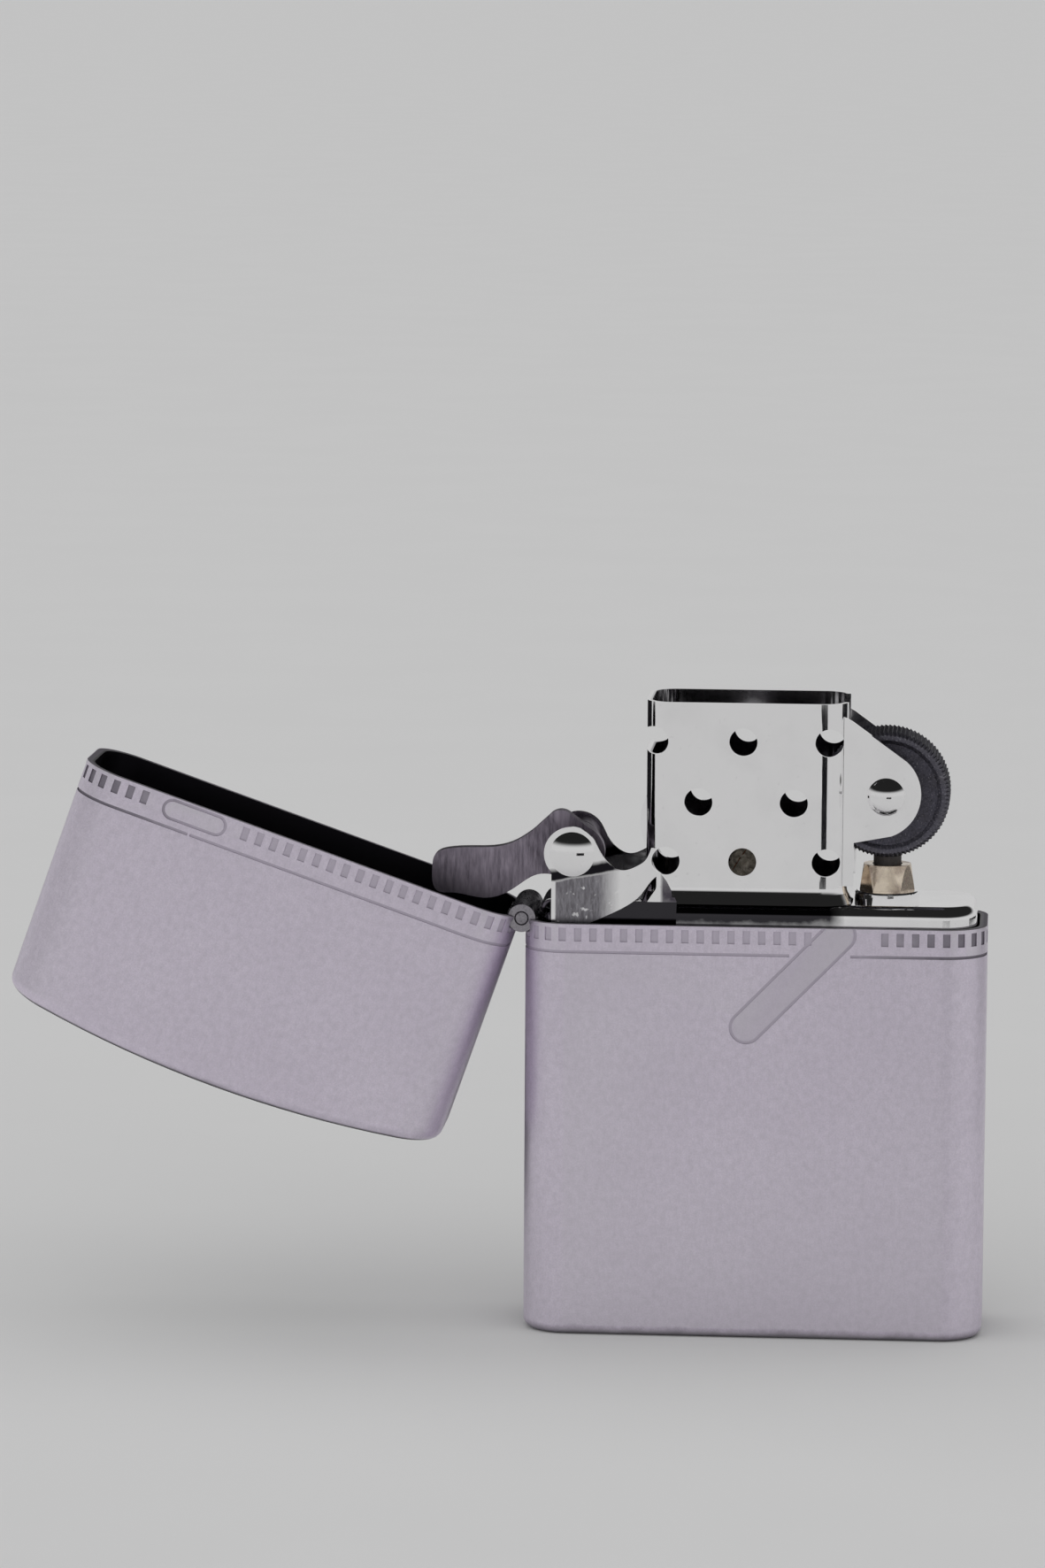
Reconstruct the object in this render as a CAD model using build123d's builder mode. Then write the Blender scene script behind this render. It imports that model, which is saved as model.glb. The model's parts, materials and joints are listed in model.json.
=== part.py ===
from build123d import *
import os

os.makedirs("parts", exist_ok=True)

# ---------------------------------------------------------------- driving dimensions (mm)
# Origin: centre of the case's flat base.  +Z up, +X away from the hinge, front face at -Y.
body_length = 38.1
body_depth = 12.8
body_corner = 3.6
wall = 0.65

case_rim = 34.4
case_floor = 0.8
case_foot_round = 0.9

lid_rim = 34.6
lid_height = 56.5
lid_dome_radius = 99.0
lid_edge_round = 1.1
lid_open_angle = 160.7

# engraved band that runs along both rims
tick_pitch = 1.26
front_tick_count = 24
end_tick_count = 4
corner_tick_count = 5
corner_tick_start = 5
corner_tick_sweep = 80
tick_width = 0.6
tick_height = 1.1
tick_from_rim = 0.3
engrave_depth = 0.12
line_from_rim = 2.4
line_width = 0.24
tag_width = 2.8
tag_x = 3.2
tag_z = 30.0
tag_reach = 10.9
tag_angle = 45.7
outline_width = 0.24
case_tick_gap = (4.6, 9.6)
case_line_gap = (2.9, 7.9)
lid_tick_gap = (5.4, 12.2)
lid_line_gap = (8.7, 8.9)
slider_length = 5.6
slider_width = 1.8
slider_x = 8.8
slider_from_rim = 0.1

# hinge
hinge_x = -19.3
hinge_z = 34.5
hinge_length = 8.5
knuckle_radius = 1.15
pin_radius = 0.6
pin_play = 0.04
pin_chamfer = 0.12
knuckle_gap = 0.1
knuckle_count = 5
relief_radius = 1.25
relief_half_length = 4.4
leaf_outer_x = -body_length / 2 + wall
leaf_thickness = 0.4
leaf_half_width = 3.6
leaf_length = 8.4
leaf_notch = 1.3

# inside unit
insert_left = -17.9
insert_right = 18.2
insert_depth = 11.2
insert_corner = 2.8
insert_bottom = 0.95
insert_top = 36.1
insert_shoulder_round = 1.0
shoulder_inner_slope = 42
sheet = 0.4
tube_hole_clear = 0.02

chimney_left = -9.1
chimney_right = 7.45
chimney_depth = 9.9
chimney_corner = 2.2
chimney_top = 52.7
chimney_floor_top = 36.5
skirt_width = 0.5
skirt_height = 1.1
skirt_slope = 24.6
skirt_blend = 1.2
vent_radius = 1.15
vent_rows = (
    (49.5, (-8.4, -1.1, 5.95)),
    (44.5, (-4.75, 3.08)),
    (39.6, (-7.4, -1.1, 5.75)),
)
stop_bulge = 0.6
stop_bulge_height = 5.2
stop_bulge_z = 42.4
stop_bulge_half = 1.6

wheel_x = 10.6
wheel_z = 45.05
wheel_radius = 5.25
wheel_half_width = 2.6
wheel_ridges = 60
wheel_ridge_depth = 0.16
wheel_ridge_groove = 0.2
wheel_chamfer = 0.3
wheel_hub_clear = 0.06
wheel_bore = 0.85
wheel_pin_radius = 0.8
wheel_hub_radius = 1.8
wheel_ear_inner = 3.4
wheel_ear_outer = 4.0
wheel_head_radius = 1.55
wheel_head_height = 0.75
wheel_window_half = 2.95
wheel_window_bottom = 39.9

cam_x = -15.1
cam_z = 40.0
cam_thickness = 1.2
cam_hub_radius = 1.5
cam_hub_half = 4.45
cam_pin_radius = 0.9
cam_bore = 0.94
cam_head_radius = 1.85
cam_head_height = 0.55
cam_heel_z = 37.4
ear_lobe_radius = 2.25
ear_foot_left = -16.8
ear_foot_right = -14.1
ear_foot_bottom = 31.6
ear_recess_gap = 0.1
notch_right = -6.45
skirt_edge_z = 0.2
spring_fixed_x = -9.7
spring_bend_x = -12.2
spring_thickness = 0.25
spring_half_width = 1.5
spring_rivet_x = -10.7
spring_rivet_radius = 0.6
spring_rivet_flange = 0.35
spring_rivet_round = 0.25

tube_x = 10.7
tube_outer = 2.0
tube_bore = 1.25
tube_bottom = 3.0
tube_top = 36.8
thread_radius = 1.55
thread_depth = 6.0
washer_radius = 2.7
washer_top = 36.8
washer_round = 0.2
collar_top = 39.0
collar_corner_radius = 2.27
collar_slope = 8
flint_radius = 1.15
flint_top = 39.7
flint_length = 5.3
flint_chamfer = 0.15
stack_gap = 0.02
tip_length = 1.3
tip_round = 0.3
tip_stem_length = 1.0
tip_stem_clear = 0.05
screw_top = 8.0
screw_head_bottom = 2.05
screw_head_top = 2.95
screw_head_radius = 2.6
spring_turns = 11
spring_coil_radius = 0.95
spring_wire = 0.15
tip_radius = 1.1
slot_width = 0.8
slot_depth = 0.45
thread_pitch = 0.7
thread_rings = 6
thread_from_head = 0.4
thread_cut = 0.2
thread_clear = 0.05
screw_head_chamfer = 0.15
screw_end_chamfer = 0.2

wick_x = -1.1
wick_radius = 1.35
wick_bottom = 9.0
wick_top = 45.6
wick_end_round = 0.4
wick_hole_clear = 0.25
packing_bottom = 4.7
packing_top = 34.9
packing_clear = 0.35
felt_bottom = 1.35
felt_top = 4.2
felt_clear = 0.3

# ---------------------------------------------------------------- frames and helpers
hinge_at = Location((hinge_x, 0, hinge_z))
open_lid = hinge_at * Location((0, 0, 0), (0, -lid_open_angle, 0)) * hinge_at.inverse()


def on_lid(plane):
    """A plane given for the shut lid, carried to where the lid stands open."""
    return Plane(open_lid * plane.location)


def across(y):
    """The XZ plane at depth y; sketches on it read X and Z."""
    return Plane.XZ.offset(-y)


insert_length = insert_right - insert_left
insert_x = (insert_right + insert_left) / 2
chimney_length = chimney_right - chimney_left
chimney_x = (chimney_right + chimney_left) / 2
knuckle_pitch = (hinge_length + knuckle_gap) / knuckle_count
knuckle_length = knuckle_pitch - knuckle_gap
case_knuckles = [-2 * knuckle_pitch, 0, 2 * knuckle_pitch]
lid_knuckles = [-knuckle_pitch, knuckle_pitch]
flat_half = body_length / 2 - body_corner
end_half = body_depth / 2 - body_corner
front_ticks = [(i - (front_tick_count - 1) / 2) * tick_pitch for i in range(front_tick_count)]
end_ticks = [(i - (end_tick_count - 1) / 2) * tick_pitch for i in range(end_tick_count)]


# ---------------------------------------------------------------- engraving sketches
def band_ticks(gap_low, gap_high):
    """Tick marks round a rim, left out of the front face between the two X values."""
    with BuildSketch() as marks:
        with Locations(*[(x, body_depth / 2) for x in front_ticks]):
            Rectangle(tick_width, 2 * engrave_depth)
        with Locations(*[(x, -body_depth / 2) for x in front_ticks if not gap_low < x < gap_high]):
            Rectangle(tick_width, 2 * engrave_depth)
        with Locations(*[(body_length / 2, y) for y in end_ticks]):
            Rectangle(2 * engrave_depth, tick_width)
        for quarter, (side_x, side_y) in enumerate(((1, 1), (-1, 1), (-1, -1), (1, -1))):
            start = corner_tick_start + 90 * quarter
            with Locations((side_x * flat_half, side_y * end_half)):
                with PolarLocations(
                    body_corner, corner_tick_count, start, corner_tick_sweep, endpoint=True
                ):
                    Rectangle(2 * engrave_depth, tick_width)
    return marks.sketch


def rim_line(gap_low, gap_high):
    """Outline of the thin groove round the body, open on the front between the two X values."""
    with BuildSketch() as line:
        RectangleRounded(body_length + 1, body_depth + 1, body_corner + 0.5)
        RectangleRounded(
            body_length - 2 * engrave_depth,
            body_depth - 2 * engrave_depth,
            body_corner - engrave_depth,
            mode=Mode.SUBTRACT,
        )
        with Locations(((gap_low + gap_high) / 2, -body_depth / 2)):
            Rectangle(gap_high - gap_low, 3, mode=Mode.SUBTRACT)
    return line.sketch


def ball_radius(head_radius, head_height):
    """Radius of the ball whose cap is a rivet head of this radius and height."""
    return (head_radius**2 + head_height**2) / (2 * head_height)


# ---------------------------------------------------------------- case
with BuildPart() as case_shell:
    with BuildSketch(Plane.XY):
        RectangleRounded(body_length, body_depth, body_corner)
    extrude(amount=case_rim)
    fillet(case_shell.edges().group_by(Axis.Z)[0], case_foot_round)
    with BuildSketch(Plane.XY.offset(case_floor)):
        RectangleRounded(body_length - 2 * wall, body_depth - 2 * wall, body_corner - wall)
    extrude(amount=case_rim, mode=Mode.SUBTRACT)
    with BuildSketch(Plane.XZ):
        with Locations((hinge_x, hinge_z)):
            Circle(relief_radius)
    extrude(amount=relief_half_length, both=True, mode=Mode.SUBTRACT)
    with BuildSketch(Plane.XY.offset(case_rim - tick_from_rim - tick_height)):
        add(band_ticks(*case_tick_gap))
    extrude(amount=tick_height, mode=Mode.SUBTRACT)
    with BuildSketch(Plane.XY.offset(case_rim - line_from_rim)):
        add(rim_line(*case_line_gap))
    extrude(amount=line_width, mode=Mode.SUBTRACT)
    # blank tag outline, engraved
    with BuildSketch(across(-body_depth / 2)):
        with Locations((tag_x, tag_z)):
            SlotCenterToCenter(tag_reach, tag_width, tag_angle)
            SlotCenterToCenter(tag_reach, tag_width - 2 * outline_width, tag_angle, mode=Mode.SUBTRACT)
    extrude(amount=-engrave_depth, mode=Mode.SUBTRACT)
case_shell.part.label = "case_shell"
export_step(case_shell.part, "parts/case_shell.step")

# ---------------------------------------------------------------- lid (drawn shut, stored open)
with BuildPart() as lid_core:
    with BuildSketch(on_lid(Plane.XY.offset(lid_rim))):
        RectangleRounded(body_length - 2 * wall, body_depth - 2 * wall, body_corner - wall)
    extrude(amount=lid_height - lid_rim)
    with BuildSketch(on_lid(Plane.XZ)):
        with Locations((0, lid_height - wall - lid_dome_radius)):
            Circle(lid_dome_radius)
    extrude(amount=body_depth, both=True, mode=Mode.INTERSECT)

with BuildPart() as lid_shell:
    with BuildSketch(on_lid(Plane.XY.offset(lid_rim))):
        RectangleRounded(body_length, body_depth, body_corner)
    extrude(amount=lid_height - lid_rim)
    with BuildSketch(on_lid(Plane.XZ)):
        with Locations((0, lid_height - lid_dome_radius)):
            Circle(lid_dome_radius)
    extrude(amount=body_depth, both=True, mode=Mode.INTERSECT)
    dome = lid_shell.faces().filter_by(GeomType.CYLINDER).sort_by(SortBy.AREA)[-1]
    fillet(dome.edges(), lid_edge_round)
    add(lid_core.part, mode=Mode.SUBTRACT)
    with BuildSketch(on_lid(Plane.XZ)):
        with Locations((hinge_x, hinge_z)):
            Circle(relief_radius)
    extrude(amount=relief_half_length, both=True, mode=Mode.SUBTRACT)
    with BuildSketch(on_lid(Plane.XY.offset(lid_rim + tick_from_rim))):
        add(band_ticks(*lid_tick_gap))
    extrude(amount=tick_height, mode=Mode.SUBTRACT)
    with BuildSketch(on_lid(Plane.XY.offset(lid_rim + line_from_rim))):
        add(rim_line(*lid_line_gap))
    extrude(amount=line_width, mode=Mode.SUBTRACT)
    # blank slider outline, engraved
    with BuildSketch(on_lid(across(-body_depth / 2))):
        with Locations((slider_x, lid_rim + slider_width / 2 + slider_from_rim)):
            SlotOverall(slider_length, slider_width)
            SlotOverall(
                slider_length - 2 * outline_width,
                slider_width - 2 * outline_width,
                mode=Mode.SUBTRACT,
            )
    extrude(amount=-engrave_depth, mode=Mode.SUBTRACT)
lid_shell.part.label = "lid_shell"
export_step(lid_shell.part, "parts/lid_shell.step")

# ---------------------------------------------------------------- hinge
with BuildSketch() as leaf:
    RectangleRounded(body_length - 2 * wall, body_depth - 2 * wall, body_corner - wall)
    with Locations((leaf_outer_x + leaf_thickness / 2, 0)):
        Rectangle(leaf_thickness, 2 * leaf_half_width, mode=Mode.INTERSECT)
leaf_section = leaf.sketch

with BuildPart() as case_hinge_plate:
    with BuildSketch(Plane.XY.offset(case_rim - leaf_length)):
        add(leaf_section)
    extrude(amount=leaf_length)
    for y in lid_knuckles:
        with BuildSketch(Plane.XY.offset(hinge_z - leaf_notch)):
            with Locations((leaf_outer_x, y)):
                Rectangle(2 * leaf_thickness, knuckle_length + 2 * knuckle_gap)
        extrude(amount=2 * leaf_notch, mode=Mode.SUBTRACT)
    for y in case_knuckles:
        with BuildSketch(across(y)):
            with Locations((hinge_x, hinge_z)):
                Circle(knuckle_radius)
        extrude(amount=knuckle_length / 2, both=True)
    with BuildSketch(Plane.XZ):
        with Locations((hinge_x, hinge_z)):
            Circle(pin_radius)
    extrude(amount=hinge_length, both=True, mode=Mode.SUBTRACT)
case_hinge_plate.part.label = "case_hinge_plate"
export_step(case_hinge_plate.part, "parts/case_hinge_plate.step")

with BuildPart() as lid_hinge_plate:
    with BuildSketch(on_lid(Plane.XY.offset(lid_rim))):
        add(leaf_section)
    extrude(amount=leaf_length)
    for y in case_knuckles:
        with BuildSketch(on_lid(Plane.XY.offset(hinge_z - leaf_notch))):
            with Locations((leaf_outer_x, y)):
                Rectangle(2 * leaf_thickness, knuckle_length + 2 * knuckle_gap)
        extrude(amount=2 * leaf_notch, mode=Mode.SUBTRACT)
    for y in lid_knuckles:
        with BuildSketch(on_lid(across(y))):
            with Locations((hinge_x, hinge_z)):
                Circle(knuckle_radius)
        extrude(amount=knuckle_length / 2, both=True)
    with BuildSketch(Plane.XZ):
        with Locations((hinge_x, hinge_z)):
            Circle(pin_radius + pin_play)
    extrude(amount=hinge_length, both=True, mode=Mode.SUBTRACT)
lid_hinge_plate.part.label = "lid_hinge_plate"
export_step(lid_hinge_plate.part, "parts/lid_hinge_plate.step")

with BuildPart() as hinge_pin:
    with BuildSketch(Plane.XZ):
        with Locations((hinge_x, hinge_z)):
            Circle(pin_radius)
    extrude(amount=hinge_length / 2, both=True)
    chamfer(hinge_pin.edges().filter_by(GeomType.CIRCLE), pin_chamfer)
hinge_pin.part.label = "hinge_pin"
export_step(hinge_pin.part, "parts/hinge_pin.step")

# ---------------------------------------------------------------- outlines seen from the front
chimney_plate_y = (chimney_depth - sheet) / 2
wheel_ear_y = (wheel_ear_inner + wheel_ear_outer) / 2
pocket_left = ear_foot_left - ear_recess_gap
pocket_floor = ear_foot_bottom - ear_recess_gap
pocket_back_y = chimney_plate_y - sheet / 2 - ear_recess_gap

with BuildSketch(Plane.XZ) as cam_ear:
    with BuildLine():
        foot = Polyline(
            (ear_foot_right, ear_foot_bottom),
            (ear_foot_left, ear_foot_bottom),
            (ear_foot_left, cam_z - 1.5),
        )
        lobe = ThreePointArc(
            foot @ 1,
            (cam_x - 0.35, cam_z + ear_lobe_radius),
            (cam_x + 1.9, cam_z + 1.0),
        )
        valley = Spline(
            lobe @ 1,
            (-12.3, 39.5),
            (-10.9, 38.75),
            (-9.6, 39.2),
            (-8.6, 40.6),
            tangents=(lobe % 1, (0.3, 1)),
        )
        inside_edge = Line(valley @ 1, (-6.7, 40.6))
        root = Polyline(inside_edge @ 1, (-6.7, 38.9), (-7.8, 38.5))
        sweep_down = Spline(
            root @ 1,
            (-8.6, 37.85),
            (-9.4, 36.75),
            (-11.1, 35.5),
            (ear_foot_right, 34.1),
        )
        Line(sweep_down @ 1, foot @ 0)
    make_face()

with BuildSketch(Plane.XZ) as ear_notch:
    with BuildLine():
        Polyline(
            (-7.8, 38.5),
            (-7.3, 37.9),
            (notch_right, insert_top + skirt_edge_z),
            (notch_right, insert_top - sheet),
            (-10.2, insert_top - sheet),
            (-10.2, 38.5),
            close=True,
        )
    make_face()

with BuildSketch(Plane.XZ) as wheel_ear:
    with BuildLine():
        ear_top = Polyline((7.1, 37.6), (7.1, 51.6), (7.8, 51.2), (12.3, 47.95))
        ear_nose = ThreePointArc(ear_top @ 1, (13.47, 45.1), (11.1, 41.8))
        Polyline(ear_nose @ 1, (8.0, 41.2), (8.0, 37.6), ear_top @ 0)
    make_face()

with BuildSketch(Plane.XZ) as cam_outline:
    with BuildLine():
        cam_back = Spline(
            (-27.0, 38.6),
            (-25.6, 39.7),
            (-22.5, 39.85),
            (-20.1, 40.4),
            (-18.6, 41.4),
            (-17.3, 42.6),
            tangents=((0.1, 1), (1, 0.9)),
        )
        cam_nose = ThreePointArc(cam_back @ 1, (-16.4, 43.05), (-15.5, 42.7))
        cam_fall = Line(cam_nose @ 1, (-14.0, 41.6))
        cam_heel_round = ThreePointArc(cam_fall @ 1, (-12.75, 40.0), (-14.2, cam_heel_z))
        cam_heel = Line(cam_heel_round @ 1, (-16.0, cam_heel_z))
        cam_belly = Spline(
            cam_heel @ 1,
            (-18.4, 37.6),
            (-20.3, 36.4),
            (-22.6, 35.6),
            (-25.4, 36.0),
            cam_back @ 0,
            tangents=((-1, 0.3), (0.1, 1)),
        )
    make_face()

# ---------------------------------------------------------------- inside unit: tank
with BuildPart() as insert_shell:
    with BuildSketch(Plane.XY.offset(insert_bottom)):
        with Locations((insert_x, 0)):
            RectangleRounded(insert_length, insert_depth, insert_corner)
    extrude(amount=insert_top - insert_bottom)
    fillet(insert_shell.edges().group_by(Axis.Z)[-1], insert_shoulder_round)
    with BuildSketch(Plane.XY.offset(insert_bottom)):
        with Locations((insert_x, 0)):
            RectangleRounded(insert_length - 2 * sheet, insert_depth - 2 * sheet, insert_corner - sheet)
    extrude(amount=insert_top - insert_bottom - insert_shoulder_round, mode=Mode.SUBTRACT)
    with BuildSketch(Plane.XY.offset(insert_top - insert_shoulder_round)):
        with Locations((insert_x, 0)):
            RectangleRounded(insert_length - 2 * sheet, insert_depth - 2 * sheet, insert_corner - sheet)
    extrude(amount=insert_shoulder_round - sheet, taper=shoulder_inner_slope, mode=Mode.SUBTRACT)
    with BuildSketch(Plane.XY.offset(insert_top - 2 * sheet)):
        with Locations((tube_x, 0)):
            Circle(tube_outer + tube_hole_clear)
        with Locations((wick_x, 0)):
            Circle(wick_radius + wick_hole_clear)
    extrude(amount=3 * sheet, mode=Mode.SUBTRACT)
    # pockets pressed in for the cam ears, front and back, open outwards
    for side in (-1, 1):
        with BuildSketch(Plane.XY.offset(pocket_floor - sheet)):
            with Locations((insert_x, 0)):
                RectangleRounded(insert_length - sheet, insert_depth - sheet, insert_corner - sheet / 2)
            with Locations(((pocket_left + notch_right) / 2, side * (pocket_back_y + insert_depth / 2))):
                Rectangle(
                    notch_right - pocket_left + 2 * sheet,
                    insert_depth + 2 * sheet,
                    mode=Mode.INTERSECT,
                )
        extrude(amount=insert_top - pocket_floor)
        with BuildSketch(Plane.XY.offset(pocket_floor)):
            with Locations(((pocket_left + notch_right) / 2, side * (pocket_back_y + insert_depth / 2))):
                Rectangle(notch_right - pocket_left, insert_depth)
        extrude(amount=insert_top, mode=Mode.SUBTRACT)
insert_shell.part.label = "insert_shell"
export_step(insert_shell.part, "parts/insert_shell.step")

# ---------------------------------------------------------------- inside unit: chimney with its ears
with BuildPart() as chimney:
    # flared skirt where the wall turns out onto the tank
    with BuildSketch(Plane.XY.offset(insert_top)):
        with Locations((chimney_x, 0)):
            RectangleRounded(
                chimney_length + 2 * skirt_width,
                chimney_depth + 2 * skirt_width,
                chimney_corner + skirt_width,
            )
    extrude(amount=skirt_height, taper=skirt_slope)
    with BuildSketch(Plane.XY.offset(insert_top)):
        with Locations((chimney_x, 0)):
            RectangleRounded(chimney_length, chimney_depth, chimney_corner)
    extrude(amount=chimney_top - insert_top)
    fillet(chimney.edges(Select.NEW), skirt_blend)
    with BuildSketch(Plane.XY.offset(chimney_floor_top)):
        with Locations((chimney_x, 0)):
            RectangleRounded(
                chimney_length - 2 * sheet, chimney_depth - 2 * sheet, chimney_corner - sheet
            )
    extrude(amount=chimney_top, mode=Mode.SUBTRACT)
    # embossed stop for the cam on the hinge-side wall
    with BuildSketch(Plane.XZ):
        with BuildLine():
            bulge = ThreePointArc(
                (chimney_left + sheet / 2, stop_bulge_z - stop_bulge_height / 2),
                (chimney_left - stop_bulge, stop_bulge_z),
                (chimney_left + sheet / 2, stop_bulge_z + stop_bulge_height / 2),
            )
            Line(bulge @ 1, bulge @ 0)
        make_face()
    extrude(amount=stop_bulge_half, both=True)
    # notch between each cam ear and the wall
    for side in (-1, 1):
        with BuildSketch(across(side * (chimney_plate_y + skirt_width / 2))):
            add(ear_notch.sketch_local)
        extrude(amount=(sheet + skirt_width) / 2, both=True, mode=Mode.SUBTRACT)
    for side in (-1, 1):
        with BuildSketch(across(side * chimney_plate_y)):
            add(cam_ear.sketch_local)
            with Locations((cam_x, cam_z)):
                Circle(cam_pin_radius, mode=Mode.SUBTRACT)
        extrude(amount=sheet / 2, both=True)
        with BuildSketch(across(side * wheel_ear_y)):
            add(wheel_ear.sketch_local)
            with Locations((wheel_x, wheel_z)):
                Circle(wheel_pin_radius, mode=Mode.SUBTRACT)
        extrude(amount=(wheel_ear_outer - wheel_ear_inner) / 2, both=True)
    # window for the wheel, open at the top
    with BuildSketch(Plane.XY.offset(wheel_window_bottom)):
        with Locations((chimney_right, 0)):
            Rectangle(2 * chimney_corner, 2 * wheel_window_half)
    extrude(amount=chimney_top, mode=Mode.SUBTRACT)
    # vent holes through front and back
    with BuildSketch(Plane.XZ):
        for row_z, row in vent_rows:
            with Locations(*[(x, row_z) for x in row]):
                Circle(vent_radius)
    extrude(amount=chimney_depth, both=True, mode=Mode.SUBTRACT)
    with BuildSketch(Plane.XY.offset(insert_top)):
        with Locations((wick_x, 0)):
            Circle(wick_radius + wick_hole_clear)
    extrude(amount=1, mode=Mode.SUBTRACT)
chimney.part.label = "chimney"
export_step(chimney.part, "parts/chimney.step")

# ---------------------------------------------------------------- cam, its rivet and its leaf spring
with BuildPart() as cam:
    with BuildSketch(Plane.XZ):
        add(cam_outline.sketch_local)
    extrude(amount=cam_thickness / 2, both=True)
    with BuildSketch(Plane.XZ):
        with Locations((cam_x, cam_z)):
            Circle(cam_hub_radius)
    extrude(amount=cam_hub_half, both=True)
    with BuildSketch(Plane.XZ):
        with Locations((cam_x, cam_z)):
            Circle(cam_bore)
    extrude(amount=cam_hub_half, both=True, mode=Mode.SUBTRACT)
cam.part.label = "cam"
export_step(cam.part, "parts/cam.step")

cam_rivet_reach = chimney_depth / 2
cam_ball = ball_radius(cam_head_radius, cam_head_height)
with BuildPart() as cam_rivet:
    for side in (-1, 1):
        with Locations((cam_x, side * (cam_rivet_reach + cam_head_height - cam_ball), cam_z)):
            Sphere(cam_ball)
    with BuildSketch(Plane.XZ):
        with Locations((cam_x, cam_z)):
            Circle(2 * cam_ball)
    extrude(amount=cam_rivet_reach, both=True, mode=Mode.SUBTRACT)
    with BuildSketch(Plane.XZ):
        with Locations((cam_x, cam_z)):
            Circle(cam_pin_radius)
    extrude(amount=cam_rivet_reach, both=True)
cam_rivet.part.label = "cam_rivet"
export_step(cam_rivet.part, "parts/cam_rivet.step")

spring_mid_z = insert_top + spring_thickness / 2
with BuildPart() as cam_spring:
    with BuildSketch(Plane.XZ):
        with BuildLine():
            spring_base = Line((spring_fixed_x, spring_mid_z), (spring_bend_x, spring_mid_z))
            Spline(
                spring_base @ 1,
                (-15.0, cam_heel_z - spring_thickness / 2 - 0.02),
                (-16.6, cam_heel_z - spring_thickness / 2 - 0.25),
                tangents=((-1, 0), (-1, -0.35)),
            )
        trace(line_width=spring_thickness)
    extrude(amount=spring_half_width, both=True)
    with BuildSketch(Plane.XY.offset(insert_top)):
        with Locations((spring_rivet_x, 0)):
            Circle(spring_rivet_radius)
    extrude(amount=1, mode=Mode.SUBTRACT)
cam_spring.part.label = "cam_spring"
export_step(cam_spring.part, "parts/cam_spring.step")

with BuildPart() as cam_spring_rivet:
    with BuildSketch(Plane.XY.offset(insert_top)):
        with Locations((spring_rivet_x, 0)):
            Circle(spring_rivet_radius)
    extrude(amount=spring_thickness)
    with BuildSketch(Plane.XY.offset(insert_top + spring_thickness)):
        with Locations((spring_rivet_x, 0)):
            Circle(spring_rivet_radius + spring_rivet_flange)
    extrude(amount=spring_rivet_flange)
    fillet(cam_spring_rivet.edges().group_by(Axis.Z)[-1], spring_rivet_round)
cam_spring_rivet.part.label = "cam_spring_rivet"
export_step(cam_spring_rivet.part, "parts/cam_spring_rivet.step")

# ---------------------------------------------------------------- striker wheel and its rivet
with BuildPart() as striker_wheel:
    with BuildSketch(Plane.XZ):
        with Locations((wheel_x, wheel_z)):
            Circle(wheel_radius)
    extrude(amount=wheel_half_width, both=True)
    chamfer(striker_wheel.edges().filter_by(GeomType.CIRCLE), wheel_chamfer)
    with BuildSketch(Plane.XZ):
        with Locations((wheel_x, wheel_z)):
            with PolarLocations(wheel_radius, wheel_ridges):
                Rectangle(2 * wheel_ridge_depth, wheel_ridge_groove)
    extrude(amount=wheel_half_width, both=True, mode=Mode.SUBTRACT)
    with BuildSketch(Plane.XZ):
        with Locations((wheel_x, wheel_z)):
            Circle(wheel_hub_radius)
    extrude(amount=wheel_ear_inner - wheel_hub_clear, both=True)
    with BuildSketch(Plane.XZ):
        with Locations((wheel_x, wheel_z)):
            Circle(wheel_bore)
    extrude(amount=wheel_ear_inner, both=True, mode=Mode.SUBTRACT)
striker_wheel.part.label = "striker_wheel"
export_step(striker_wheel.part, "parts/striker_wheel.step")

wheel_ball = ball_radius(wheel_head_radius, wheel_head_height)
with BuildPart() as wheel_rivet:
    for side in (-1, 1):
        with Locations((wheel_x, side * (wheel_ear_outer + wheel_head_height - wheel_ball), wheel_z)):
            Sphere(wheel_ball)
    with BuildSketch(Plane.XZ):
        with Locations((wheel_x, wheel_z)):
            Circle(2 * wheel_ball)
    extrude(amount=wheel_ear_outer, both=True, mode=Mode.SUBTRACT)
    with BuildSketch(Plane.XZ):
        with Locations((wheel_x, wheel_z)):
            Circle(wheel_pin_radius)
    extrude(amount=wheel_ear_outer, both=True)
wheel_rivet.part.label = "wheel_rivet"
export_step(wheel_rivet.part, "parts/wheel_rivet.step")

# ---------------------------------------------------------------- flint feed
with BuildPart() as flint_tube:
    with BuildSketch(Plane.XY.offset(tube_bottom)):
        with Locations((tube_x, 0)):
            Circle(tube_outer)
            Circle(tube_bore, mode=Mode.SUBTRACT)
    extrude(amount=tube_top - tube_bottom)
    with BuildSketch(Plane.XY.offset(tube_bottom)):
        with Locations((tube_x, 0)):
            Circle(thread_radius)
    extrude(amount=thread_depth, mode=Mode.SUBTRACT)
flint_tube.part.label = "flint_tube"
export_step(flint_tube.part, "parts/flint_tube.step")

with BuildPart() as flint_tube_washer:
    with BuildSketch(Plane.XY.offset(insert_top)):
        with Locations((tube_x, 0)):
            Circle(washer_radius)
            Circle(tube_outer, mode=Mode.SUBTRACT)
    extrude(amount=washer_top - insert_top)
    fillet(flint_tube_washer.edges().group_by(Axis.Z)[-1].sort_by(SortBy.LENGTH)[-1], washer_round)
flint_tube_washer.part.label = "flint_tube_washer"
export_step(flint_tube_washer.part, "parts/flint_tube_washer.step")

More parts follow.
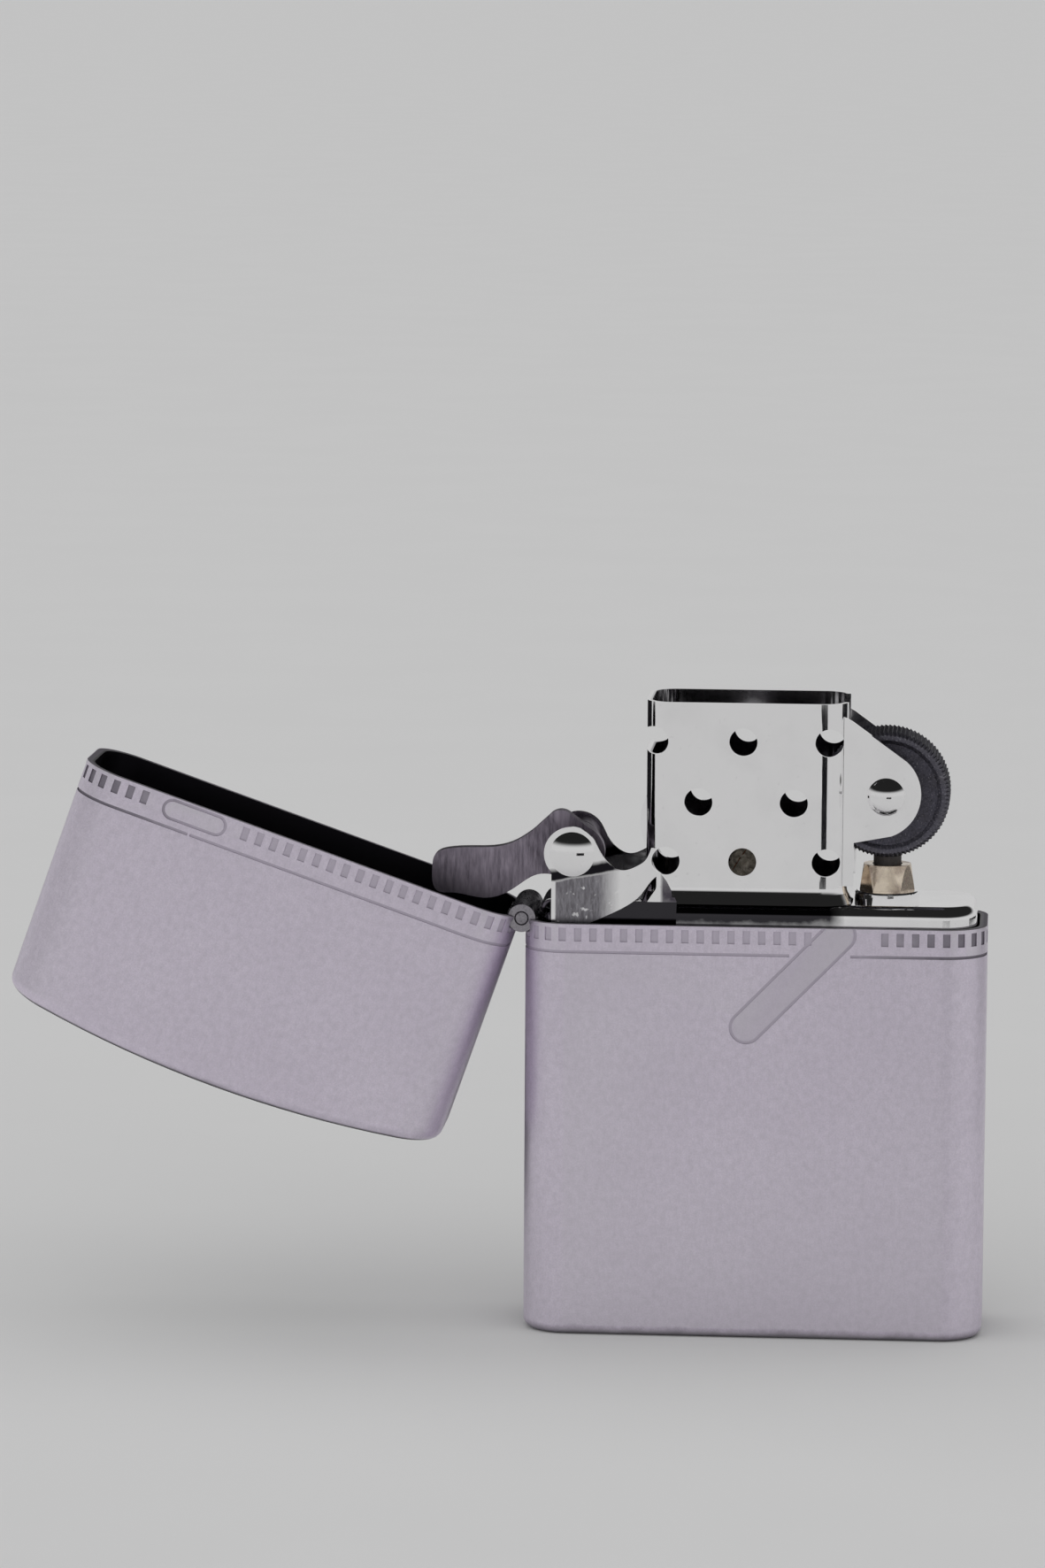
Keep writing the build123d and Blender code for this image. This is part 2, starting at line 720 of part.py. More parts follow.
with BuildPart() as flint_tube_collar:
    with BuildSketch(Plane.XY.offset(washer_top)):
        with Locations((tube_x, 0)):
            RegularPolygon(collar_corner_radius, 6)
    extrude(amount=collar_top - washer_top)
    with BuildSketch(Plane.XY.offset(washer_top)):
        with Locations((tube_x, 0)):
            Circle(collar_corner_radius)
    extrude(amount=collar_top - washer_top, taper=collar_slope, mode=Mode.INTERSECT)
    with BuildSketch(Plane.XY.offset(washer_top)):
        with Locations((tube_x, 0)):
            Circle(tube_bore)
    extrude(amount=collar_top, mode=Mode.SUBTRACT)
flint_tube_collar.part.label = "flint_tube_collar"
export_step(flint_tube_collar.part, "parts/flint_tube_collar.step")

flint_bottom = flint_top - flint_length
with BuildPart() as flint:
    with BuildSketch(Plane.XY.offset(flint_bottom)):
        with Locations((tube_x, 0)):
            Circle(flint_radius)
    extrude(amount=flint_length)
    chamfer(flint.edges().group_by(Axis.Z)[0], flint_chamfer)
flint.part.label = "flint"
export_step(flint.part, "parts/flint.step")

tip_bottom = flint_bottom - tip_length - stack_gap
with BuildPart() as flint_spring_tip:
    with BuildSketch(Plane.XY.offset(tip_bottom)):
        with Locations((tube_x, 0)):
            Circle(tip_radius)
    extrude(amount=tip_length)
    fillet(flint_spring_tip.edges().group_by(Axis.Z)[-1], tip_round)
    with BuildSketch(Plane.XY.offset(tip_bottom)):
        with Locations((tube_x, 0)):
            Circle(spring_coil_radius - spring_wire - tip_stem_clear)
    extrude(amount=-tip_stem_length)
flint_spring_tip.part.label = "flint_spring_tip"
export_step(flint_spring_tip.part, "parts/flint_spring_tip.step")

coil_bottom = screw_top + spring_wire + stack_gap
coil_height = tip_bottom - spring_wire - stack_gap - coil_bottom
with BuildPart() as flint_spring:
    with BuildLine():
        coil = Helix(
            pitch=coil_height / spring_turns,
            height=coil_height,
            radius=spring_coil_radius,
            center=(tube_x, 0, coil_bottom),
        )
    with BuildSketch(Plane(origin=coil @ 0, z_dir=coil % 0)):
        Circle(spring_wire)
    sweep(is_frenet=True)
flint_spring.part.label = "flint_spring"
export_step(flint_spring.part, "parts/flint_spring.step")

with BuildPart() as flint_screw:
    with BuildSketch(Plane.XY.offset(screw_head_bottom)):
        with Locations((tube_x, 0)):
            Circle(screw_head_radius)
    extrude(amount=screw_head_top - screw_head_bottom)
    chamfer(flint_screw.edges().group_by(Axis.Z)[0], screw_head_chamfer)
    with BuildSketch(Plane.XY.offset(screw_head_bottom)):
        with Locations((tube_x, 0)):
            Rectangle(3 * screw_head_radius, slot_width)
    extrude(amount=slot_depth, mode=Mode.SUBTRACT)
    with BuildSketch(Plane.XY.offset(screw_head_top)):
        with Locations((tube_x, 0)):
            Circle(thread_radius - thread_clear)
    extrude(amount=screw_top - screw_head_top)
    chamfer(flint_screw.edges().group_by(Axis.Z)[-1], screw_end_chamfer)
    # thread, as shallow rings round the plug
    for i in range(thread_rings):
        with BuildSketch(Plane.XY.offset(screw_head_top + thread_from_head + i * thread_pitch)):
            with Locations((tube_x, 0)):
                Circle(thread_radius)
                Circle(thread_radius - thread_cut, mode=Mode.SUBTRACT)
        extrude(amount=thread_pitch / 2, mode=Mode.SUBTRACT)
flint_screw.part.label = "flint_screw"
export_step(flint_screw.part, "parts/flint_screw.step")

# ---------------------------------------------------------------- soft goods inside the tank
with BuildPart() as wick:
    with BuildSketch(Plane.XY.offset(wick_bottom)):
        with Locations((wick_x, 0)):
            Circle(wick_radius)
    extrude(amount=wick_top - wick_bottom)
    fillet(wick.edges().group_by(Axis.Z)[-1], wick_end_round)
wick.part.label = "wick"
export_step(wick.part, "parts/wick.step")

with BuildPart() as packing:
    with BuildSketch(Plane.XY.offset(packing_bottom)):
        with Locations((insert_x, 0)):
            RectangleRounded(
                insert_length - 2 * sheet - 2 * packing_clear,
                2 * (chimney_plate_y - sheet / 2 - packing_clear),
                insert_corner - sheet - packing_clear,
            )
        with Locations((tube_x, 0)):
            Circle(tube_outer + packing_clear, mode=Mode.SUBTRACT)
        with Locations((wick_x, 0)):
            Circle(wick_radius + packing_clear, mode=Mode.SUBTRACT)
    extrude(amount=packing_top - packing_bottom)
    # room for the two pockets
    for side in (-1, 1):
        with BuildSketch(Plane.XY.offset(pocket_floor - sheet - packing_clear)):
            with Locations(((insert_left + notch_right) / 2, side * (pocket_back_y + insert_depth / 2))):
                Rectangle(
                    notch_right - insert_left + 2 * (sheet + packing_clear),
                    insert_depth + 2 * (sheet + packing_clear),
                )
        extrude(amount=packing_top, mode=Mode.SUBTRACT)
packing.part.label = "packing"
export_step(packing.part, "parts/packing.step")

with BuildPart() as felt_pad:
    with BuildSketch(Plane.XY.offset(felt_bottom)):
        with Locations((insert_x, 0)):
            RectangleRounded(
                insert_length - 2 * sheet - felt_clear,
                insert_depth - 2 * sheet - felt_clear,
                insert_corner - sheet,
            )
        with Locations((tube_x, 0)):
            Circle(screw_head_radius + packing_clear, mode=Mode.SUBTRACT)
    extrude(amount=felt_top - felt_bottom)
felt_pad.part.label = "felt_pad"
export_step(felt_pad.part, "parts/felt_pad.step")
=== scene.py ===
import json
import math
import random

import bmesh
import bpy
from mathutils import Matrix, Vector, noise


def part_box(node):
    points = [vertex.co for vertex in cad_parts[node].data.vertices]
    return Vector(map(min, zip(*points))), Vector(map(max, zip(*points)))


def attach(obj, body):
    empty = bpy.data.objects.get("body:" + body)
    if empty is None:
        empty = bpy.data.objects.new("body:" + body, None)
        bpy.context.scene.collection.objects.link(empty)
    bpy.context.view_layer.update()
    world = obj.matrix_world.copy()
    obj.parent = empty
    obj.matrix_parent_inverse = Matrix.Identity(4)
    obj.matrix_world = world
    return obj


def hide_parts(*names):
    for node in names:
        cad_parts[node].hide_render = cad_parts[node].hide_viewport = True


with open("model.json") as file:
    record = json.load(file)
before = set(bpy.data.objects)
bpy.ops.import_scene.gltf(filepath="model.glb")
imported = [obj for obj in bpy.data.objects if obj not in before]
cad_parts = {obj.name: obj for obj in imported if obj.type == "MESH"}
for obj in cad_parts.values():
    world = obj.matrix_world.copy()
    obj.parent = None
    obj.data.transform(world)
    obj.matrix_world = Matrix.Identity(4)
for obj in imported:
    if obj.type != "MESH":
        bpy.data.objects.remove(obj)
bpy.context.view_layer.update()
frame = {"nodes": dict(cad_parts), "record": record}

MM = 0.001
scene = bpy.context.scene
nodes = frame["nodes"]


# ------------------------------------------------------------------ material helpers
class Look:
    """A node material with short helpers."""

    def __init__(self, name):
        self.mat = bpy.data.materials.new(name)
        self.mat.use_nodes = True
        self.tree = self.mat.node_tree
        self.out = self.tree.nodes["Material Output"]
        self.bsdf = self.tree.nodes["Principled BSDF"]

    def set(self, **values):
        for key, value in values.items():
            self.bsdf.inputs[key.replace("_", " ")].default_value = value
        return self

    def node(self, kind, **values):
        n = self.tree.nodes.new(kind)
        for key, value in values.items():
            setattr(n, key, value)
        return n

    def link(self, a, b):
        self.tree.links.new(a, b)

    def place(self, scale=(1, 1, 1), rotation=(0, 0, 0)):
        """Object coordinates, scaled and turned."""
        c = self.node("ShaderNodeTexCoord")
        m = self.node("ShaderNodeMapping")
        m.inputs["Scale"].default_value = scale
        m.inputs["Rotation"].default_value = rotation
        self.link(c.outputs["Object"], m.inputs["Vector"])
        return m.outputs["Vector"]

    def noise(self, vector, scale, detail=4.0, rough=0.55):
        n = self.node("ShaderNodeTexNoise")
        n.inputs["Scale"].default_value = scale
        n.inputs["Detail"].default_value = detail
        n.inputs["Roughness"].default_value = rough
        self.link(vector, n.inputs["Vector"])
        return n.outputs["Fac"]

    def math(self, op, a, b=None, clamp=False):
        n = self.node("ShaderNodeMath", operation=op, use_clamp=clamp)
        for i, v in enumerate((a, b)):
            if v is None:
                continue
            if isinstance(v, (int, float)):
                n.inputs[i].default_value = v
            else:
                self.link(v, n.inputs[i])
        return n.outputs[0]

    def span(self, value, low, high, to_low=0.0, to_high=1.0):
        n = self.node("ShaderNodeMapRange")
        n.inputs["From Min"].default_value = low
        n.inputs["From Max"].default_value = high
        n.inputs["To Min"].default_value = to_low
        n.inputs["To Max"].default_value = to_high
        self.link(value, n.inputs["Value"])
        return n.outputs["Result"]

    def mix(self, fac, a, b):
        n = self.node("ShaderNodeMix", data_type="RGBA")
        if isinstance(fac, (int, float)):
            n.inputs[0].default_value = fac
        else:
            self.link(fac, n.inputs[0])
        for i, v in ((6, a), (7, b)):
            if isinstance(v, tuple):
                n.inputs[i].default_value = (*v, 1) if len(v) == 3 else v
            else:
                self.link(v, n.inputs[i])
        return n.outputs[2]

    def bump(self, height, distance, strength=1.0):
        n = self.node("ShaderNodeBump")
        n.inputs["Strength"].default_value = strength
        n.inputs["Distance"].default_value = distance
        self.link(height, n.inputs["Height"])
        return n.outputs["Normal"]

    def to(self, socket, value):
        self.link(value, self.bsdf.inputs[socket])
        return self

    @classmethod
    def reopen(cls, mat):
        """The same helpers on a material that is already made."""
        k = cls.__new__(cls)
        k.mat = mat
        k.tree = mat.node_tree
        k.bsdf = k.tree.nodes["Principled BSDF"]
        return k

    def feeding(self, socket):
        """What is linked into a socket of the shader now."""
        return self.bsdf.inputs[socket].links[0].from_socket

    def edge_wear(self):
        """About 1 on sharp convex edges, 0 on flats."""
        g = self.node("ShaderNodeNewGeometry")
        return self.span(g.outputs["Pointiness"], 0.52, 0.6)


def shut_frame_coordinates(look, hinge, angle):
    """Object coordinates turned back to where the lid is shut."""
    c = look.node("ShaderNodeTexCoord")
    shift = look.node("ShaderNodeVectorMath", operation="SUBTRACT")
    shift.inputs[1].default_value = hinge
    look.link(c.outputs["Object"], shift.inputs[0])
    turn = look.node("ShaderNodeVectorRotate", rotation_type="Y_AXIS")
    turn.inputs["Angle"].default_value = angle
    look.link(shift.outputs[0], turn.inputs["Vector"])
    back = look.node("ShaderNodeVectorMath", operation="ADD")
    back.inputs[1].default_value = hinge
    look.link(turn.outputs[0], back.inputs[0])
    return back.outputs[0]


def outside_box(look, x, y, half_x, half_y, corner):
    """Distance outside a round-cornered rectangle; below zero inside it."""
    ax = look.math("SUBTRACT", look.math("ABSOLUTE", x), half_x - corner)
    ay = look.math("SUBTRACT", look.math("ABSOLUTE", y), half_y - corner)
    px = look.math("MAXIMUM", ax, 0.0)
    py = look.math("MAXIMUM", ay, 0.0)
    beyond = look.math("SQRT", look.math("ADD", look.math("MULTIPLY", px, px), look.math("MULTIPLY", py, py)))
    within = look.math("MINIMUM", look.math("MAXIMUM", ax, ay), 0.0)
    return look.math("SUBTRACT", look.math("ADD", beyond, within), corner)


# the metal shells, in metres, with the lid shut
HINGE = (-0.0193, 0.0, 0.0345)
LID_ANGLE = math.radians(160.7)
HALF_LENGTH = 0.01905
HALF_DEPTH = 0.0064
CORNER = 0.0036
# the blank tag: its middle, the length between its round ends, half its width and its lean in degrees
TAG_X, TAG_Z = 0.0032, 0.0300
TAG_REACH = 0.0109
TAG_HALF = 0.0014
TAG_ANGLE = 45.7
# the chimney's outline, and the line up to which the feet of its cam ears are dull
CHIMNEY_X = -0.000825
CHIMNEY_HALF_LENGTH = 0.008275
CHIMNEY_HALF_DEPTH = 0.0050
CHIMNEY_CORNER = 0.0022
FOOT_LEFT = -0.0168
FOOT_RIGHT = -0.0117
FOOT_LINE_Z = 0.0377
FOOT_CLIMB = 0.19
# tones of the satin metal
SATIN_LIGHT = (0.93, 0.86, 0.98)
SATIN_DARK = (0.76, 0.69, 0.81)
SATIN_CLOUD = (0.81, 0.74, 0.86)
SATIN_TAG = (0.66, 0.61, 0.70)
SATIN_FILL = (0.64, 0.59, 0.68)
SATIN_FILL_DARK = (0.24, 0.22, 0.26)
SATIN_WORN = (0.78, 0.76, 0.80)
# painted shade for the end that is set down
SATIN_END_SHADE = (0.16, 0.145, 0.17)
# the inside: a dull finish, darkened further as painted shade
INSIDE_LID_DULL_SHADE = (0.030, 0.027, 0.034)
INSIDE_CASE_DULL_SHADE = (0.30, 0.29, 0.31)
# painted shade, near black, for the tank's shoulder and pockets
TANK_SHADE = (0.020, 0.018, 0.024)
# sooted, with painted shade added, for inside the chimney
SOOT_AND_SHADE = (0.085, 0.075, 0.095)


def satin_shell(name, lid):
    """Satin grey metal outside with a dark fill in the engraving and painted shade on the end that is set
    down; the inside is dull and darkened as painted shade, near black on the lid.
    """
    k = Look(name)
    if lid:
        where = shut_frame_coordinates(k, HINGE, LID_ANGLE)
    else:
        where = k.place()
    parts = k.node("ShaderNodeSeparateXYZ")
    k.link(where, parts.inputs[0])
    x, y, z = parts.outputs

    distance = outside_box(k, x, y, HALF_LENGTH, HALF_DEPTH, CORNER)
    engraved = k.span(distance, -0.00002, -0.00006)
    inner = k.span(distance, -0.00030, -0.00055)
    # only on the upright walls, clear of the round at the closed end
    upright = k.span(z, 0.0540, 0.0535) if lid else k.span(z, 0.0012, 0.0016)
    engraved = k.math("MULTIPLY", engraved, upright)
    cut = k.math("MULTIPLY", engraved, k.math("SUBTRACT", 1.0, inner))

    # grain: fine sand with short upright streaks, and slow cloudy variation
    stretch = k.node("ShaderNodeMapping")
    stretch.inputs["Scale"].default_value = (1, 1, 0.3)
    k.link(where, stretch.inputs["Vector"])
    streaks = k.noise(stretch.outputs[0], 4200, 3.0, 0.7)
    sand = k.noise(where, 7500, 2.0, 0.6)
    cloud = k.noise(where, 90, 3.0, 0.5)
    grain = k.math("ADD", k.math("MULTIPLY", streaks, 0.35), k.math("MULTIPLY", sand, 0.65))
    tone = k.mix(k.span(grain, 0.3, 0.7), SATIN_DARK, SATIN_LIGHT)
    tone = k.mix(k.span(cloud, 0.35, 0.7, 0.0, 0.35), tone, SATIN_CLOUD)
    mottle = k.noise(where, 1700, 4.0, 0.65)
    tone = k.mix(k.span(mottle, 0.4, 0.68, 0.0, 0.4), tone, SATIN_TAG)
    # a blank tag rubbed a little duller than the wall round it, on the front only
    if not lid:
        lean = math.radians(TAG_ANGLE)
        dx = k.math("SUBTRACT", x, TAG_X)
        dz = k.math("SUBTRACT", z, TAG_Z)
        cosine, sine = math.cos(lean), math.sin(lean)
        along = k.math("ADD", k.math("MULTIPLY", dx, cosine), k.math("MULTIPLY", dz, sine))
        aside = k.math("SUBTRACT", k.math("MULTIPLY", dz, cosine), k.math("MULTIPLY", dx, sine))
        past = k.math("MAXIMUM", k.math("SUBTRACT", k.math("ABSOLUTE", along), TAG_REACH / 2), 0.0)
        away = k.math("SQRT", k.math("ADD", k.math("MULTIPLY", past, past), k.math("MULTIPLY", aside, aside)))
        on_tag = k.math("MULTIPLY", k.span(away, TAG_HALF, TAG_HALF - 0.0001), k.span(y, -0.0060, -0.0062))
        tone = k.mix(k.math("MULTIPLY", on_tag, 0.55), tone, SATIN_TAG)
    worn = k.edge_wear()
    tone = k.mix(k.math("MULTIPLY", worn, 0.45), tone, SATIN_WORN)
    # painted shade on the end that is set down, standing in for its contact shadow and the dark floor seen in
    # its round, ragged at its upper edge
    ragged = k.math("MULTIPLY", k.noise(where, 420, 4.0, 0.6), 0.0006)
    if lid:
        end_shade = k.span(k.math("ADD", z, ragged), 0.0562, 0.0568)
    else:
        end_shade = k.span(k.math("SUBTRACT", z, ragged), 0.0006, -0.0001)
    tone = k.mix(k.math("MULTIPLY", end_shade, 0.7), tone, SATIN_END_SHADE)
    # what has settled in the engraving is thin in most places and darker towards the far end
    settled = k.noise(where, 260, 3.0, 0.6)
    thick = k.math("ADD", x, k.math("MULTIPLY", settled, 0.008))
    fill = k.mix(k.span(thick, 0.0125, 0.0200), SATIN_FILL, SATIN_FILL_DARK)
    tone = k.mix(k.math("MULTIPLY", cut, 0.9), tone, fill)
    # the inside walls: a dull finish, darkened as painted shade, near black inside the lid
    if lid:
        tone = k.mix(inner, tone, INSIDE_LID_DULL_SHADE)
    else:
        tone = k.mix(inner, tone, INSIDE_CASE_DULL_SHADE)
    k.to("Base Color", tone)
    rough = k.span(grain, 0.25, 0.75, 0.46, 0.34)
    rough = k.math("ADD", rough, k.math("MULTIPLY", cut, 0.15), clamp=True)
    rough = k.math("ADD", rough, k.math("MULTIPLY", k.span(cloud, 0.3, 0.7, 0, 1), 0.05), clamp=True)
    k.to("Roughness", rough)
    k.to("Metallic", k.math("SUBTRACT", 1.0, k.math("MULTIPLY", cut, 0.2)))
    k.to("Normal", k.bump(grain, 0.000008, 0.6))
    return k.mat


def polished_steel(name, tint=(0.965, 0.96, 0.965), rough=0.045, seed=0.0):
    """Mirror-bright sheet with faint smudges, dull specks and fine scratches."""
    k = Look(name)
    where = k.place(rotation=(0, 0, seed))
    smudge = k.noise(where, 260, 4.0, 0.55)
    fine = k.noise(k.place((1, 1, 0.05)), 7000, 2.0, 0.6)
    speck = k.noise(where, 3200, 2.0, 0.5)
    tone = k.mix(k.span(smudge, 0.45, 0.75), tint, tuple(0.95 * v for v in tint))
    tone = k.mix(k.span(speck, 0.68, 0.76, 0.0, 0.25), tone, (0.62, 0.61, 0.62))
    k.to("Base Color", tone)
    r = k.math("ADD", k.span(smudge, 0.3, 0.7, rough * 0.7, rough * 1.8), k.span(fine, 0.4, 0.7, 0.0, 0.03))
    k.to("Roughness", r)
    k.set(Metallic=1.0)
    k.to("Normal", k.bump(fine, 0.0000015, 0.5))
    return k.mat


def chimney_steel(name):
    """Polished steel, sooted inside with painted shade deepening it, dull on the feet of the cam ears, with a
    line of painted shade above them along the crease.
    """
    k = Look.reopen(polished_steel(name, seed=0.4))
    bright = k.feeding("Base Color")
    gloss = k.feeding("Roughness")
    where = k.place()
    parts = k.node("ShaderNodeSeparateXYZ")
    k.link(where, parts.inputs[0])
    x, y, z = parts.outputs
    ragged = k.noise(where, 900, 4.0, 0.6)
    # height over a line that climbs to the right across the foot
    climb = k.math("MULTIPLY", k.math("SUBTRACT", x, FOOT_LEFT), FOOT_CLIMB)
    over = k.math("SUBTRACT", z, k.math("ADD", FOOT_LINE_Z, climb))
    over = k.math("ADD", over, k.math("MULTIPLY", k.math("SUBTRACT", ragged, 0.5), 0.0003))
    foot = k.span(over, 0.0, -0.00015)
    foot = k.math("MULTIPLY", foot, k.span(x, FOOT_RIGHT + 0.0006, FOOT_RIGHT - 0.0012))
    foot = k.math("MULTIPLY", foot, k.span(x, FOOT_LEFT + 0.0003, FOOT_LEFT + 0.0004))
    # painted shade: a near-black line along the crease just above the feet
    line = k.math("MULTIPLY", k.span(over, -0.0001, 0.0001), k.span(over, 0.0011, 0.0007))
    line = k.math("MULTIPLY", line, k.span(x, FOOT_RIGHT + 0.0012, FOOT_RIGHT))
    scuffs = k.noise(k.place((1, 1, 0.2)), 5200, 3.0, 0.7)
    dull = k.mix(k.span(scuffs, 0.35, 0.68), (0.19, 0.18, 0.20), (0.36, 0.35, 0.38))
    dull = k.mix(k.span(k.noise(where, 1900, 2.0, 0.5), 0.66, 0.74), dull, (0.85, 0.84, 0.86))
    tone = k.mix(foot, bright, dull)
    tone = k.mix(line, tone, (0.016, 0.015, 0.019))
    # sooted inside, darkened further as painted shade, most towards the bottom
    from_middle = k.math("SUBTRACT", x, CHIMNEY_X)
    wall = outside_box(k, from_middle, y, CHIMNEY_HALF_LENGTH, CHIMNEY_HALF_DEPTH, CHIMNEY_CORNER)
    soot_and_shade = k.span(wall, -0.0002, -0.00032)
    soot_and_shade = k.math("MULTIPLY", soot_and_shade, k.span(z, 0.0520, 0.0512, 0.55, 1.0))
    patchy = k.noise(where, 700, 4.0, 0.6)
    soot_and_shade = k.math("MULTIPLY", soot_and_shade, k.span(patchy, 0.25, 0.6, 0.75, 1.0))
    tone = k.mix(soot_and_shade, tone, SOOT_AND_SHADE)
    k.to("Base Color", tone)
    gloss = k.math("ADD", gloss, k.math("MULTIPLY", foot, 0.28))
    k.to("Roughness", k.math("ADD", gloss, k.math("MULTIPLY", soot_and_shade, 0.12)))
    return k.mat


def tank_steel(name):
    """Polished steel, with painted shade, near black, on the shoulder under the chimney and in the pockets.
    """
    k = Look.reopen(polished_steel(name))
    bright = k.feeding("Base Color")
    where = k.place()
    parts = k.node("ShaderNodeSeparateXYZ")
    k.link(where, parts.inputs[0])
    x, y, z = parts.outputs
    # painted shade: near black on the shoulder under the chimney and in the pockets, ragged at its edges
    ragged = k.math("MULTIPLY", k.math("SUBTRACT", k.noise(where, 500, 4.0, 0.6), 0.5), 0.0016)
    reach = k.math("ADD", x, ragged)
    depth = k.math("ABSOLUTE", y)
    shoulder = k.math("MULTIPLY", k.span(reach, 0.0072, 0.0060), k.span(depth, 0.00425, 0.0044))
    shoulder = k.math("MULTIPLY", shoulder, k.span(k.math("ADD", z, ragged), 0.0334, 0.0349))
    pocket = k.math("MULTIPLY", k.span(x, -0.0060, -0.0064), k.span(depth, 0.0052, 0.0048))
    pocket = k.math("MULTIPLY", pocket, k.span(depth, 0.00415, 0.0043))
    pocket = k.math("MULTIPLY", pocket, k.span(z, 0.0305, 0.0312))
    black = k.math("MAXIMUM", shoulder, pocket)
    k.to("Base Color", k.mix(k.math("MULTIPLY", black, 0.97), bright, TANK_SHADE))
    return k.mat


def brushed_steel(name, light, dark, along=(1, 1, 0.08), rough=0.34, scale=5200):
    """Straight-grained steel sheet."""
    k = Look(name)
    lines = k.noise(k.place(along), scale, 3.0, 0.7)
    cloud = k.noise(k.place(), 380, 3.0, 0.5)
    tone = k.mix(k.span(lines, 0.32, 0.68), dark, light)
    tone = k.mix(k.span(cloud, 0.4, 0.75, 0.0, 0.3), tone, dark)
    tone = k.mix(k.math("MULTIPLY", k.edge_wear(), 0.5), tone, tuple(min(1, 1.5 * v) for v in light))
    k.to("Base Color", tone)
    k.to("Roughness", k.span(lines, 0.3, 0.7, rough + 0.12, rough - 0.06))
    k.set(Metallic=1.0)
    k.to("Normal", k.bump(lines, 0.000006, 0.7))
    return k.mat


def turned_brass(name):
    """Bright turned brass with tool lines and warm tarnish in patches."""
    k = Look(name)
    rings = k.noise(k.place((0.15, 0.15, 1)), 9000, 2.0, 0.6)
    stain = k.noise(k.place(), 700, 4.0, 0.6)
    tone = k.mix(k.span(stain, 0.38, 0.7), (0.92, 0.80, 0.66), (0.46, 0.36, 0.30))
    tone = k.mix(k.span(rings, 0.4, 0.7, 0.0, 0.4), tone, (0.86, 0.75, 0.56))
    k.to("Base Color", tone)
    k.to("Roughness", k.span(stain, 0.3, 0.7, 0.12, 0.34))
    k.set(Metallic=1.0)
    k.to("Normal", k.bump(rings, 0.000004, 0.6))
    return k.mat


def dark_wheel(name):
    """Hardened dark steel with bright wear on the ridges."""
    k = Look(name)
    pits = k.noise(k.place(), 5200, 4.0, 0.65)
    cloud = k.noise(k.place(), 420, 3.0, 0.5)
    tone = k.mix(k.span(pits, 0.35, 0.7), (0.050, 0.048, 0.062), (0.13, 0.125, 0.16))
    tone = k.mix(k.span(cloud, 0.45, 0.75, 0.0, 0.5), tone, (0.06, 0.055, 0.055))
    flecks = k.span(k.noise(k.place(), 7000, 2.0, 0.6), 0.60, 0.70)
    tone = k.mix(k.math("MULTIPLY", flecks, 0.6), tone, (0.42, 0.41, 0.46))
    tone = k.mix(k.math("MULTIPLY", k.edge_wear(), 0.5), tone, (0.34, 0.33, 0.37))
    k.to("Base Color", tone)
    k.to("Roughness", k.span(pits, 0.3, 0.7, 0.38, 0.6))
    k.set(Metallic=0.85)
    k.to("Normal", k.bump(pits, 0.00003, 0.6))
    return k.mat


def flint_alloy(name):
    """Dark gritty alloy with faint brown patches."""
    k = Look(name)
    grit = k.noise(k.place(), 4200, 5.0, 0.7)
    patch = k.noise(k.place(), 900, 3.0, 0.5)
    tone = k.mix(k.span(grit, 0.3, 0.7), (0.055, 0.05, 0.05), (0.13, 0.12, 0.12))
    tone = k.mix(k.span(patch, 0.5, 0.75, 0.0, 0.5), tone, (0.16, 0.12, 0.10))
    k.to("Base Color", tone)
    k.to("Roughness", k.span(grit, 0.3, 0.7, 0.55, 0.8))
    k.set(Metallic=0.5)
    k.to("Normal", k.bump(grit, 0.00004, 0.8))
    return k.mat


def soft_fibre(name, light, dark, fuzz, scale=3000, sheen=0.3, char_from=None, char_to=None):
    """Fibre with uneven colour and a fine lint surface; can darken towards the top."""
    k = Look(name)
    where = k.place()
    lint = k.noise(where, scale, 5.0, 0.7)
    patch = k.noise(where, scale * 0.12, 3.0, 0.5)
    tone = k.mix(k.span(lint, 0.3, 0.7), dark, light)
    tone = k.mix(k.span(patch, 0.4, 0.7, 0.0, 0.5), tone, dark)
    if char_from is not None:
        parts = k.node("ShaderNodeSeparateXYZ")
        k.link(where, parts.inputs[0])
        burn = k.span(k.math("ADD", parts.outputs[2], k.math("MULTIPLY", lint, 0.0012)), char_from, char_to)
        tone = k.mix(burn, tone, (0.012, 0.011, 0.010))
    k.to("Base Color", tone)
    k.to("Roughness", k.span(lint, 0.2, 0.8, 0.82, 0.98))
    k.set(Sheen_Weight=sheen, Sheen_Roughness=0.5)
    k.to("Normal", k.bump(lint, fuzz, 0.8))
    return k.mat


